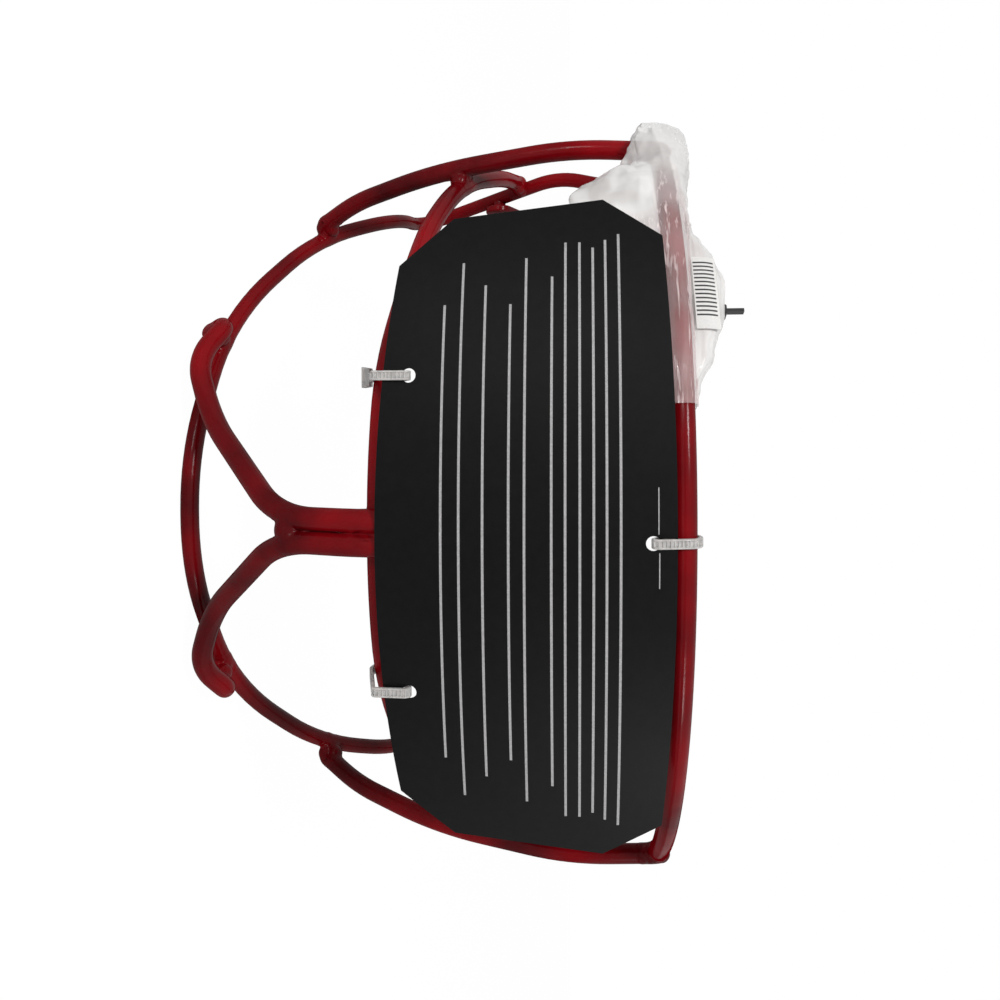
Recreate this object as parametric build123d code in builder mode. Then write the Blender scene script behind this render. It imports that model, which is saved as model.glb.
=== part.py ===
"""Softball face guard: a welded cage of coated steel wire with its hang card, ties and film bag.

Lengths are millimetres. X is the viewer's right, Y runs from the front back to the ears, Z is up.
The origin is the middle of the brow bar's centreline.
"""
import os
from math import asin, cos, degrees, radians, sin, sqrt, tan

from build123d import *

os.makedirs("parts", exist_ok=True)

# Coated wire and its welds
wire_d = 6.0
jaw_wire_d = 5.3
weld_gap = 0.1
bead_r = 3.5
eyelet_bead_r = 2.7
bend_ease_share = 0.47

# Space that the cage encloses, measured between the wires' centrelines
cage_half_width = 121.0
cage_depth = 145.0
cage_height = 144.0

# Nose bar, an arc in plan that rises towards the cheeks
nose_drop = 76.6
nose_setback = 5.7
nose_radius = 112.2
nose_turn_share = 0.125

# Flat eyelets that the helmet's screws go through
eyelet_t = 2.6
eyelet_w = 11.0
eyelet_bore_d = 5.6
temple_reach = 8.6
cheek_reach = 9.4
eyelet_round = 0.7

# Curved hang card
card_t = 0.8
card_radius = 225.0
card_gap = 0.6
card_top_drop = 4.2
card_top_half = 74.4
card_shoulder_half = 84.8
card_shoulder_drop = 19.1
card_waist_half = 80.4
card_waist_drop = 57.5
card_foot_half = 67.6
card_foot_drop = 71.0
card_middle_drop = 78.2
card_hole_d = 3.6
top_hole_x = 0.8
top_hole_drop = 7.8
low_hole_half = 39.3
low_hole_drop = 67.2

# Nylon cable ties
strap_w = 2.4
strap_t = 1.0
strap_gap = 0.3
strap_bend_r = 1.6
tie_head_l = 4.6
tie_head_w = 4.0
tie_head_h = 2.8

# Film bag folded round the left end of the brow bar, its heights counted from the brow bar
film_gap = 0.35
film_front = 6.5
film_back = 9.0
film_end_run = 14.0
film_lip = 4.2
film_crest_rise = 12.4
film_saddle_rise = 5.2
film_cuff_rise = 9.0
film_flap_drop = 26.5

# Gathered neck behind the bag's pouch, and the black tie that closes it
neck_half = 62.0
neck_rise = 8.4
neck_r = 2.2
neck_l = 4.0
bag_tie_head = 3.0
bag_tie_round = 0.4
bag_tie_tail = 4.6

# Paper label on the bag
label_t = 0.25
label_half = 62.0
label_w = 18.0
label_h = 6.5
label_lift = 4.4

# Film bag's rim in the front view, as shares of the brow bar's half span and of the flap's drop
film_start_share = 0.283
film_crest_share = 0.610
film_saddle_share = 0.822
film_hem_shares = (
    (0.639, 0.30),
    (0.712, 1.00),
    (0.800, 1.00),
    (0.881, 0.72),
    (0.945, 0.40),
    (1.060, 0.33),
    (1.400, 0.28),
)

# Places along the wires, as shares of the cage's half width, depth and height
brow_end_shares = (0.905, 0.390, 0.0)
jaw_shares = (
    (0.956, 0.736, 0.103),
    (1.011, 0.799, 0.225),
    (0.920, 1.012, 0.649),
    (0.885, 0.784, 0.670),
    (0.774, 0.600, 0.840),
    (0.505, 0.384, 0.975),
    (0.147, 0.225, 0.985),
)
side_shares = (
    (0.949, 0.423, 0.195),
    (0.912, 0.462, 0.503),
    (0.863, 0.545, 0.719),
)
nose_rise_shares = (0.0, 0.0, 0.025, 0.040)
nose_rear_shares = (0.972, 0.687, 0.369)
chin_shares = (
    (0.229, 0.175, 0.910),
    (0.381, 0.215, 0.963),
    (0.475, 0.278, 0.923),
)

# Where the welds sit along the wires, as shares of their length, and how far the ends run
side_tip_share = 0.276
nose_tip_share = 0.070
temple_weld_share = 0.007
cheek_eyelet_share = 0.092
chin_tip_share = 0.394
chin_split_share = 0.390
nose_cross_share = 0.529
cross_run = 9.0
chin_top_run = 5.0
chin_weld_rise = 3.2
chin_split_setback = 3.9

wire_r = wire_d / 2
jaw_wire_r = jaw_wire_d / 2
wire_pitch = wire_d + weld_gap
jaw_pitch = wire_r + jaw_wire_r + weld_gap


def place(shares):
    """Point of the right-hand half of the cage, from shares of its half width, depth and height."""
    across, back, down = shares
    return Vector(cage_half_width * across, cage_depth * back, -cage_height * down)


def mirrored(points):
    return [Vector(-point.X, point.Y, point.Z) for point in points]


def bend_radii(points):
    """Bend radius at each inner point, so that the arcs take most of the shorter run beside it."""
    radii = []
    for before, corner, after in zip(points, points[1:], points[2:]):
        shorter = min((corner - before).length, (after - corner).length)
        half_turn = radians((corner - before).get_angle(after - corner)) / 2
        radii.append(bend_ease_share * shorter / tan(half_turn))
    return radii


def wire_route(points):
    """Bent wire: straight runs joined by tangent arcs."""
    with BuildLine() as route:
        FilletPolyline(*points, radius=bend_radii(points))
    return route.wire()


def beside(route, share, towards, pitch):
    """Point one pitch away from a wire's centreline, square to the wire and towards a direction."""
    along = route.tangent_at(share)
    outward = (towards - along * towards.dot(along)).normalized()
    return route.position_at(share) + outward * pitch


def bent_wire(route, diameter):
    """Round wire with rounded ends along a route, added to the part in work."""
    with BuildSketch(Plane(origin=route @ 0, z_dir=route % 0)) as section:
        Circle(diameter / 2)
    sweep(section.sketch, path=route)
    with Locations(route @ 0, route @ 1):
        Sphere(diameter / 2)


def finish(piece, name):
    piece.part.label = name
    export_step(piece.part, f"parts/{name}.step")


# Brow bar, one arc in a level plane through the origin and both ends
brow_end = place(brow_end_shares)
brow_radius = (brow_end.X ** 2 + brow_end.Y ** 2) / (2 * brow_end.Y)
brow_turn = degrees(asin(brow_end.X / brow_radius))
with BuildLine() as brow_line:
    CenterArc((0, brow_radius), brow_radius, -90 - brow_turn, 2 * brow_turn)
brow_route = brow_line.wire()

with BuildPart() as brow_bar:
    bent_wire(brow_route, wire_d)
finish(brow_bar, "brow_bar")

# Jaw wire, the rear frame from ear to ear
jaw_right = [place(shares) for shares in jaw_shares]
jaw_route = wire_route(jaw_right + mirrored(jaw_right)[::-1])

with BuildPart() as jaw_wire:
    bent_wire(jaw_route, jaw_wire_d)
finish(jaw_wire, "jaw_wire")

# Side wires, from behind the brow bar's ends down to the jaw wire
side_top = brow_route @ 1 + brow_route % 1 * (wire_pitch + weld_gap)
side_tip = beside(jaw_route, side_tip_share, Vector(1, -1, 0), jaw_pitch)
side_right = [side_top] + [place(shares) for shares in side_shares] + [side_tip]
side_route = wire_route(side_right)

with BuildPart() as right_side_wire:
    bent_wire(side_route, wire_d)
finish(right_side_wire, "right_side_wire")

left_side_route = wire_route(mirrored(side_right))
with BuildPart() as left_side_wire:
    bent_wire(left_side_route, wire_d)
finish(left_side_wire, "left_side_wire")


def nose_corner(count, rise_share):
    """Corner of the polygon round the nose bar's arc, counted from the middle."""
    step = nose_turn_share * (2 * count + 1)
    reach = nose_radius / cos(nose_turn_share)
    back = nose_setback + nose_radius - reach * cos(step)
    return Vector(reach * sin(step), back, cage_height * rise_share - nose_drop)


# Nose bar, under the side wires and back to the jaw wire
nose_front = [nose_corner(count, rise) for count, rise in enumerate(nose_rise_shares)]
nose_rear = place(nose_rear_shares)
cross_heading = (nose_rear - nose_front[-1]).normalized()
cross_out = cross_heading.cross(side_route.tangent_at(nose_cross_share) * -1)
cross_point = beside(side_route, nose_cross_share, cross_out * -1, wire_pitch)
nose_tip = beside(jaw_route, nose_tip_share, Vector(0.35, -1, 0), jaw_pitch)
cross_points = [cross_point - cross_heading * cross_run, cross_point + cross_heading * cross_run]
nose_right = nose_front + cross_points + [nose_rear, nose_tip]
nose_route = wire_route(nose_right[::-1] + mirrored(nose_right))

with BuildPart() as nose_bar:
    bent_wire(nose_route, wire_d)
finish(nose_bar, "nose_bar")

# Chin wires, side by side under the card and then apart to the jaw wire
chin_x = wire_pitch / 2
chin_y = nose_setback - wire_pitch
chin_top = Vector(chin_x, chin_y, chin_top_run - nose_drop)
chin_split_drop = nose_drop + chin_split_share * (cage_height - nose_drop)
chin_split = Vector(chin_x, chin_split_setback, -chin_split_drop)
chin_straight = Vector(chin_x, chin_y, -nose_drop - chin_top_run)
chin_tip = beside(jaw_route, chin_tip_share, Vector(0, -1, -0.3), jaw_pitch)
chin_right = [chin_top, chin_straight, chin_split] + [place(shares) for shares in chin_shares] + [chin_tip]
chin_route = wire_route(chin_right)

with BuildPart() as right_chin_wire:
    bent_wire(chin_route, wire_d)
finish(right_chin_wire, "right_chin_wire")

with BuildPart() as left_chin_wire:
    bent_wire(wire_route(mirrored(chin_right)), wire_d)
finish(left_chin_wire, "left_chin_wire")


def eyelet(start, heading, reach, lean):
    """Flat eyelet for the right-hand side, from a place beside the jaw wire to its screw hole."""
    outer_x = start.X - jaw_wire_r - lean * eyelet_w / 2 - weld_gap
    bore = start + heading * reach
    turn = degrees(asin(heading.Z / sqrt(heading.Y ** 2 + heading.Z ** 2)))
    turn = turn if heading.Y > 0 else 180 - turn
    middle = start + heading * (reach / 2)
    with BuildPart() as plate:
        with BuildSketch(Plane.YZ.offset(outer_x - eyelet_t)):
            with Locations((middle.Y, middle.Z)):
                SlotCenterToCenter(reach, eyelet_w, rotation=turn)
        extrude(amount=eyelet_t)
        fillet(edges().filter_by(Plane.YZ), eyelet_round)
        with BuildSketch(Plane.YZ.offset(outer_x - eyelet_t)):
            with Locations((bore.Y, bore.Z)):
                Circle(eyelet_bore_d / 2)
        extrude(amount=eyelet_t, mode=Mode.SUBTRACT)
    return plate


# Eyelets at the temples, past the jaw wire's ends, and on the cheeks, behind it
temple_start = jaw_route @ 0
temple_heading = Vector(0, -(jaw_route % 0).Y, -(jaw_route % 0).Z).normalized()
cheek_start = jaw_route.position_at(cheek_eyelet_share)
cheek_run = jaw_route.tangent_at(cheek_eyelet_share)
cheek_heading = Vector(0, -cheek_run.Z, cheek_run.Y).normalized()

right_temple_eyelet = eyelet(temple_start, temple_heading, temple_reach, abs((jaw_route % 0).X))
finish(right_temple_eyelet, "right_temple_eyelet")

with BuildPart() as left_temple_eyelet:
    mirror(right_temple_eyelet.part, about=Plane.YZ)
finish(left_temple_eyelet, "left_temple_eyelet")

right_cheek_eyelet = eyelet(cheek_start, cheek_heading, cheek_reach, abs(cheek_run.X))
finish(right_cheek_eyelet, "right_cheek_eyelet")

with BuildPart() as left_cheek_eyelet:
    mirror(right_cheek_eyelet.part, about=Plane.YZ)
finish(left_cheek_eyelet, "left_cheek_eyelet")


def weld_bead(seat, tip, wires, radius):
    """Weld bead between two centreline points, its poles inside the wires, which cut them away."""
    with BuildPart() as bead:
        with Locations(Plane(origin=(seat + tip) * 0.5, z_dir=seat - tip)):
            Sphere(radius)
        for wire in wires:
            add(wire.part, mode=Mode.SUBTRACT)
    add(bead.part)


def bead_pair(seat, tip, right_wires, left_wires, radius=bead_r):
    """The same weld bead on both sides of the cage."""
    weld_bead(seat, tip, right_wires, radius)
    weld_bead(*mirrored([seat, tip]), left_wires, radius)


# Weld beads, each cut by the wires that it joins
with BuildPart() as brow_welds:
    bead_pair(brow_route @ 1, side_top, [brow_bar, right_side_wire], [brow_bar, left_side_wire])
finish(brow_welds, "brow_welds")

side_cross = side_route.position_at(nose_cross_share)
with BuildPart() as nose_bar_welds:
    bead_pair(side_cross, cross_point, [nose_bar, right_side_wire], [nose_bar, left_side_wire])
finish(nose_bar_welds, "nose_bar_welds")

jaw_seats = [jaw_route.position_at(share) for share in (nose_tip_share, side_tip_share, chin_tip_share)]
with BuildPart() as cheek_welds:
    bead_pair(jaw_seats[0], nose_tip, [nose_bar, jaw_wire], [nose_bar, jaw_wire])
finish(cheek_welds, "cheek_welds")

with BuildPart() as side_wire_welds:
    bead_pair(jaw_seats[1], side_tip, [jaw_wire, right_side_wire], [jaw_wire, left_side_wire])
finish(side_wire_welds, "side_wire_welds")

with BuildPart() as chin_welds:
    bead_pair(jaw_seats[2], chin_tip, [jaw_wire, right_chin_wire], [jaw_wire, left_chin_wire])
finish(chin_welds, "chin_welds")

chin_wires = [right_chin_wire, left_chin_wire]
with BuildPart() as centre_welds:
    chin_weld = chin_split + Vector(0, 0, chin_weld_rise)
    weld_bead(chin_weld, mirrored([chin_weld])[0], chin_wires, bead_r)
    nose_middle = Vector(0, nose_setback, -nose_drop)
    weld_bead(nose_middle, nose_middle - Vector(0, wire_d, 0), chin_wires + [nose_bar], bead_r)
finish(centre_welds, "centre_welds")

temple_seat = jaw_route.position_at(temple_weld_share)
temple_tip = Vector(right_temple_eyelet.part.center().X, temple_seat.Y, temple_seat.Z)
cheek_tip = Vector(right_cheek_eyelet.part.center().X, cheek_start.Y, cheek_start.Z)
with BuildPart() as eyelet_welds:
    bead_pair(temple_seat, temple_tip, [jaw_wire, right_temple_eyelet],
              [jaw_wire, left_temple_eyelet], eyelet_bead_r)
    bead_pair(cheek_start, cheek_tip, [jaw_wire, right_cheek_eyelet],
              [jaw_wire, left_cheek_eyelet], eyelet_bead_r)
finish(eyelet_welds, "eyelet_welds")

# Hang card, a bent sheet in front of the brow bar and the chin wires
card_front_y = -wire_r - card_gap - card_t
card_axis_y = card_front_y + card_radius
card_low = -card_middle_drop - card_t


def card_outline(grow):
    """Outline of the card in the front view, grown by a clearance."""
    with BuildLine() as rim:
        right = [
            (card_foot_half, -card_foot_drop),
            (card_waist_half, -card_waist_drop),
            (card_shoulder_half, -card_shoulder_drop),
            (card_top_half, -card_top_drop),
        ]
        left = [(-x, z) for x, z in right[::-1]]
        Polyline(*right, *left)
        ThreePointArc(left[-1], (0, -card_middle_drop), right[0])
    make_face(rim.edges())
    if grow:
        offset(amount=grow)


with BuildPart() as hang_card:
    with BuildSketch(Plane.XY.offset(card_low)):
        with Locations((0, card_axis_y)):
            Circle(card_radius)
            Circle(card_radius - card_t, mode=Mode.SUBTRACT)
    extrude(amount=-card_low)
    with BuildSketch(Plane.XZ.offset(-card_axis_y)):
        card_outline(0)
        with Locations((top_hole_x, -top_hole_drop), (low_hole_half, -low_hole_drop),
                       (-low_hole_half, -low_hole_drop)):
            Circle(card_hole_d / 2, mode=Mode.SUBTRACT)
    extrude(amount=card_axis_y + card_radius, mode=Mode.INTERSECT)
finish(hang_card, "hang_card")


def card_front_at(x):
    """Front face of the card at a distance from the mid-plane."""
    return card_axis_y - sqrt(card_radius ** 2 - x ** 2)


def tie_loop(plane, front, back, low, high):
    """Closed strap loop round everything between four limits, in a plane across the bar."""
    depth = back - front
    height = high - low
    centre = ((front + back) / 2, (low + high) / 2)
    with BuildSketch(plane) as strap:
        with Locations(centre):
            RectangleRounded(depth + 2 * strap_t, height + 2 * strap_t, strap_bend_r + strap_t)
            RectangleRounded(depth, height, strap_bend_r, mode=Mode.SUBTRACT)
    extrude(strap.sketch, amount=strap_w / 2, both=True)


def tie_head(plane, across, up):
    """Ratchet head of a tie, square to the strap."""
    with BuildSketch(plane) as head:
        with Locations((across, up)):
            RectangleRounded(tie_head_w, tie_head_h, strap_t)
    extrude(head.sketch, amount=tie_head_l / 2, both=True)


# Top tie, round the brow bar and through the card
top_plane = Plane(origin=(top_hole_x, 0, 0), x_dir=(0, 1, 0), z_dir=(1, 0, 0))
top_front = card_front_at(top_hole_x) - strap_gap
top_back = wire_r + strap_gap
with BuildPart() as top_tie:
    tie_loop(top_plane, top_front, top_back, strap_t / 2 - top_hole_drop, wire_r + strap_gap)
    tie_head(top_plane, top_back + tie_head_w / 2, 0)
finish(top_tie, "top_tie")


def low_tie(side, head_below):
    """Tie round the nose bar on one side and through the card's lower hole."""
    hole_x = side * low_hole_half
    turn = asin(low_hole_half / nose_radius) * side
    rearward = Vector(-sin(turn), cos(turn), 0)
    hole = Vector(hole_x, card_front_at(low_hole_half), 0)
    plane = Plane(origin=hole, x_dir=rearward, z_dir=(cos(turn), sin(turn), 0))
    bar = Vector(side * nose_radius * sin(abs(turn)), nose_setback + nose_radius * (1 - cos(turn)), 0)
    back = (bar - hole).dot(rearward) + wire_r + 4 * strap_gap
    low = -nose_drop - wire_r - strap_gap
    tie_loop(plane, -strap_gap, back, low, -strap_t / 2 - low_hole_drop)
    if head_below:
        tie_head(plane, tie_head_w / 2, low - tie_head_h / 2)
    else:
        tie_head(plane, back + tie_head_w / 2, low + tie_head_h)


with BuildPart() as lower_left_tie:
    low_tie(-1, True)
finish(lower_left_tie, "lower_left_tie")

with BuildPart() as lower_right_tie:
    low_tie(1, False)
finish(lower_right_tie, "lower_right_tie")

# Space that the bag leaves for the wires and for the card in front of it
with BuildPart() as film_clearance:
    with BuildSketch(Plane(origin=brow_route @ 0, z_dir=brow_route % 0)):
        Circle(wire_r + film_gap)
    sweep(path=brow_route)
    with Locations(brow_route @ 0):
        Sphere(wire_r + film_gap)
    with BuildSketch(Plane(origin=left_side_route @ 0, z_dir=left_side_route % 0)):
        Circle(wire_r + film_gap)
    sweep(path=left_side_route)
    with Locations(left_side_route @ 0):
        Sphere(wire_r + film_gap)
    with Locations(mirrored([(side_top + brow_route @ 1) * 0.5])[0]):
        Sphere(bead_r + film_gap)

with BuildPart() as card_clearance:
    with BuildSketch(Plane.XZ.offset(-brow_radius)):
        card_outline(film_gap)
    extrude(amount=brow_radius + card_radius)
    with BuildSketch(Plane.XY.offset(-card_middle_drop - card_t)):
        with Locations((0, card_axis_y)):
            Circle(card_radius - card_t - film_gap)
    extrude(amount=card_middle_drop + card_t, mode=Mode.SUBTRACT)

# The bag's mouth is gathered into a neck behind the pouch, where a black tie closes it
neck_turn = asin(neck_half / brow_radius)
neck_forward = Vector(-sin(neck_turn), -cos(neck_turn), 0)
neck_root = Vector(0, brow_radius, neck_rise) + neck_forward * (brow_radius - film_back)
neck_plane = Plane(origin=neck_root, x_dir=neck_forward.cross(Vector(0, 0, 1)), z_dir=neck_forward * -1)

film_end_turn = brow_turn + degrees(film_end_run / brow_radius)
film_rim = [(-brow_end.X * across, -film_flap_drop * down) for across, down in film_hem_shares]
film_start = (-brow_end.X * film_start_share, film_lip)
film_crest = (-brow_end.X * film_crest_share, film_crest_rise)
film_saddle = (-brow_end.X * film_saddle_share, film_saddle_rise)

with BuildPart() as film_bag:
    with BuildSketch(Plane.XY.offset(-film_flap_drop)):
        with BuildLine():
            outside = CenterArc((0, brow_radius), brow_radius + film_front, -90, -film_end_turn)
            inside = CenterArc((0, brow_radius), brow_radius - film_back, -90, -film_end_turn)
            Line(outside @ 0, inside @ 0)
            Line(outside @ 1, inside @ 1)
        make_face()
    extrude(amount=film_crest_rise + film_flap_drop)
    with BuildSketch(Plane.XZ.offset(-brow_radius)):
        with BuildLine():
            Polyline(film_start, (film_start[0], -film_lip), *film_rim, (film_rim[-1][0], film_cuff_rise))
            Line((film_rim[-1][0], film_cuff_rise), film_saddle)
            Spline(film_saddle, film_crest, film_start, tangents=[(1, 0), (1, -1)])
        make_face()
    extrude(amount=brow_radius * 2, mode=Mode.INTERSECT)
    # The pouch above the bar stands behind the bar's middle
    with BuildSketch(Plane.XY.offset(film_lip)):
        with Locations((0, brow_radius)):
            Circle(brow_radius + 2 * film_front)
            Circle(brow_radius, mode=Mode.SUBTRACT)
    extrude(amount=film_crest_rise, mode=Mode.SUBTRACT)
    add(film_clearance.part, mode=Mode.SUBTRACT)
    add(card_clearance.part, mode=Mode.SUBTRACT)
    with BuildSketch(neck_plane):
        Circle(neck_r)
    extrude(amount=neck_l)
    with BuildSketch(neck_plane.offset(neck_l)):
        Circle(neck_r + strap_t)
    extrude(amount=strap_t)
finish(film_bag, "film_bag")

# Black tie round the neck, with its head and tail pointing up past the crest
head_lift = neck_r + film_gap + (strap_t + bag_tie_head) / 2
with BuildPart() as bag_tie:
    with BuildSketch(neck_plane.offset(film_gap)):
        Circle(neck_r + film_gap + strap_t)
        Circle(neck_r + film_gap, mode=Mode.SUBTRACT)
    extrude(amount=strap_w)
    with BuildSketch(neck_plane.offset(film_gap)):
        with Locations(neck_plane.to_local_coords(neck_root + Vector(0, 0, head_lift))):
            RectangleRounded(bag_tie_head, bag_tie_head, bag_tie_round)
    extrude(amount=bag_tie_head)
    with BuildSketch(neck_plane.offset(film_gap + bag_tie_round)):
        with Locations(neck_plane.to_local_coords(neck_root + Vector(0, 0, head_lift + bag_tie_tail / 2))):
            Rectangle(strap_t, bag_tie_tail + bag_tie_head)
    extrude(amount=strap_w - 2 * bag_tie_round)
finish(bag_tie, "bag_tie")

with BuildPart() as bag_label:
    with BuildSketch(Plane.XY.offset(label_lift)):
        with Locations((0, brow_radius)):
            Circle(brow_radius + label_t)
            Circle(brow_radius, mode=Mode.SUBTRACT)
    extrude(amount=label_h)
    with BuildSketch(Plane.XZ):
        with Locations((-label_half, label_lift + label_h / 2)):
            Rectangle(label_w, label_h)
    extrude(amount=-brow_radius, mode=Mode.INTERSECT)
finish(bag_label, "bag_label")

print("brow turn", round(brow_turn, 1))
print("jaw bends", [round(radius, 1) for radius in bend_radii(jaw_right)])
print("side bends", [round(radius, 1) for radius in bend_radii(side_right)])
print("nose bends", [round(radius, 1) for radius in bend_radii(nose_right)])
print("chin bends", [round(radius, 1) for radius in bend_radii(chin_right)])
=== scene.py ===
# %% [markdown]
# # A softball face guard in Blender
# The real thing is a cage of bent steel wire, dipped in red plastic. A black card hangs on it
# with three nylon ties, and a clear film bag is folded round one end of its top wire.
# The CAD model is loaded first. It fixes the size and the place of every piece, so the work
# here is to give each piece its surface, and to replace the soft and the fine ones with
# better shapes. Lengths are written in millimetres and multiplied by MM where they are used.

from math import atan2, cos, degrees, floor, pi, radians, sin, sqrt

import bmesh
import bpy
from mathutils import Matrix, Vector, noise


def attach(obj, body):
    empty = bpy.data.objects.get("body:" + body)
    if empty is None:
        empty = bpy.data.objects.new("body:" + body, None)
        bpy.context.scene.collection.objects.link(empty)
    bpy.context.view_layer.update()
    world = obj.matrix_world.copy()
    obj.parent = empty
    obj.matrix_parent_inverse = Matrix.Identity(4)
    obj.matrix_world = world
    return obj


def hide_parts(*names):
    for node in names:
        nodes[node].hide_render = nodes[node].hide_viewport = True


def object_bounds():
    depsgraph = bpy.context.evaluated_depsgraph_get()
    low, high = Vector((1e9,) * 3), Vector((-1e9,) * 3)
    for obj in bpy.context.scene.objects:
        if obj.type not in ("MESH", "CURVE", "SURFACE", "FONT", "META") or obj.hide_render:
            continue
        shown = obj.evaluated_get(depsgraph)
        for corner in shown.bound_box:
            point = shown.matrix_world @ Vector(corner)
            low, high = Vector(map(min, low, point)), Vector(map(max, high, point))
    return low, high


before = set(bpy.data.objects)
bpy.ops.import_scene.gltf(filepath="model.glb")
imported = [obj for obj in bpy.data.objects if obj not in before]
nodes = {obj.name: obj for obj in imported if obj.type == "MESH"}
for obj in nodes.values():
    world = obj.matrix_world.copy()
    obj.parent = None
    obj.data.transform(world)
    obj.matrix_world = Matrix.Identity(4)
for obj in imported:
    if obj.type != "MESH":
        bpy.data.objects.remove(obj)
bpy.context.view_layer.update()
MM = 0.001
print("CAD nodes:", len(nodes))

# %% [markdown]
# The camera comes early, because it shows at once whether the model agrees with the picture.
# The guard was photographed on its side and from close by, so the camera is rolled by a
# quarter turn and has a wide lens. Its place, its turn and its shift were worked out from
# where the wires cross in the picture.

# %% Camera
SENSOR_WIDTH, LENS, LENS_SHIFT = 36.0, 27.0, -0.0848
CAMERA_PLACE = Vector((-31.67, -183.21, -26.69))
PICTURE_RIGHT = Vector((0.00146, 0.09700, 0.99528))
PICTURE_UP = Vector((-0.99993, 0.01215, 0.00028))

scene = bpy.context.scene
camera_data = bpy.data.cameras.new("camera")
camera_data.sensor_width = SENSOR_WIDTH
camera_data.lens = LENS
camera_data.shift_y = LENS_SHIFT
camera_data.clip_start = 0.01
camera_data.clip_end = 60.0
camera = bpy.data.objects.new("camera", camera_data)
scene.collection.objects.link(camera)
turn = Matrix((PICTURE_RIGHT, PICTURE_UP, PICTURE_RIGHT.cross(PICTURE_UP))).transposed()
camera.matrix_world = Matrix.Translation(CAMERA_PLACE * MM) @ turn.to_4x4()
scene.camera = camera
scene.view_settings.view_transform = "Standard"
print("camera at", [round(v, 4) for v in camera.location])

# %% [markdown]
# A material in Blender is a small network of nodes. These helpers make one with a
# Principled shader, which covers most real surfaces, and connect nodes by name, so that each
# finish below needs only the lines that make it special.

# %% Helpers for materials
def new_material(name):
    """A material, its network and the shader that its output shows."""
    material = bpy.data.materials.new(name)
    material.use_nodes = True
    tree = material.node_tree
    tree.nodes.clear()
    shader = tree.nodes.new("ShaderNodeBsdfPrincipled")
    output = tree.nodes.new("ShaderNodeOutputMaterial")
    tree.links.new(shader.outputs["BSDF"], output.inputs["Surface"])
    return material, tree, shader


def add_node(tree, kind, settings=None, **inputs):
    """A node with its settings and inputs, named, or i0, i1 and so on; a socket is linked."""
    node = tree.nodes.new("ShaderNode" + kind)
    for key, value in (settings or {}).items():
        setattr(node, key, value)
    for key, value in inputs.items():
        numbered = key[0] == "i" and key[1:].isdigit()
        socket = node.inputs[int(key[1:]) if numbered else key]
        if isinstance(value, bpy.types.NodeSocket):
            tree.links.new(value, socket)
        else:
            socket.default_value = value
    return node


def place_of(tree):
    """The point on the surface, in the object's own metres."""
    return add_node(tree, "TexCoord").outputs["Object"]


def noise_of(tree, scale, detail=3.0, roughness=0.5, place=None):
    """Soft random values between 0 and 1, with about that many lumps in a metre."""
    place = place or place_of(tree)
    settings = dict(Vector=place, Scale=scale, Detail=detail, Roughness=roughness)
    return add_node(tree, "TexNoise", None, **settings).outputs["Fac"]


def ramp_of(tree, value, stops):
    """Colours from a value: stops are pairs of a position and a colour."""
    ramp = add_node(tree, "ValToRGB", None, Fac=value)
    while len(ramp.color_ramp.elements) < len(stops):
        ramp.color_ramp.elements.new(0.5)
    for element, (position, colour) in zip(ramp.color_ramp.elements, stops):
        element.position = position
        element.color = (*colour, 1.0)
    return ramp.outputs["Color"]


def range_of(tree, value, low, high):
    """A value from 0 to 1, stretched to run from low to high."""
    return add_node(tree, "MapRange", None, i0=value, i3=low, i4=high).outputs["Result"]


def bump_of(tree, height, distance, strength=1.0, below=None):
    """Small relief that only tilts the surface, its height in metres."""
    bump = add_node(tree, "Bump", None, Height=height, Distance=distance, Strength=strength)
    if below is not None:
        tree.links.new(below, bump.inputs["Normal"])
    return bump.outputs["Normal"]


def grained(name, grain, stops, gloss):
    """A material whose colours and roughness follow one noise, which it gives back as well."""
    material, tree, shader = new_material(name)
    cloud = noise_of(tree, *grain)
    tree.links.new(ramp_of(tree, cloud, stops), shader.inputs["Base Color"])
    tree.links.new(range_of(tree, cloud, *gloss), shader.inputs["Roughness"])
    return material, tree, shader, cloud


def dress(names, material):
    """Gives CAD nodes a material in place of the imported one."""
    for name in names:
        mesh = nodes[name].data
        mesh.materials.clear()
        mesh.materials.append(material)


print("material helpers ready")

# %% [markdown]
# The wires are dipped in a soft red plastic. It is glossy, but not like paint: the light
# spreads a little on it, its thickness wavers, and it is darker where it lies thick.
# Noises of different sizes do that: broad patches for the colour, middling ones for smears
# and for the waver, and a fine one for the skin. The real wires have dark edges with bright
# streaks. White surroundings would grey the edges, so the gloss fades towards them.

# %% Red dip coat
DEEP_RED = (0.060, 0.0010, 0.0024)
BRIGHT_RED = (0.250, 0.0030, 0.0064)
COAT_ROUGHNESS = (0.12, 0.26)
COAT_GLOSS = 0.10
FADE_FACING = (0.20, 0.85)


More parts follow.
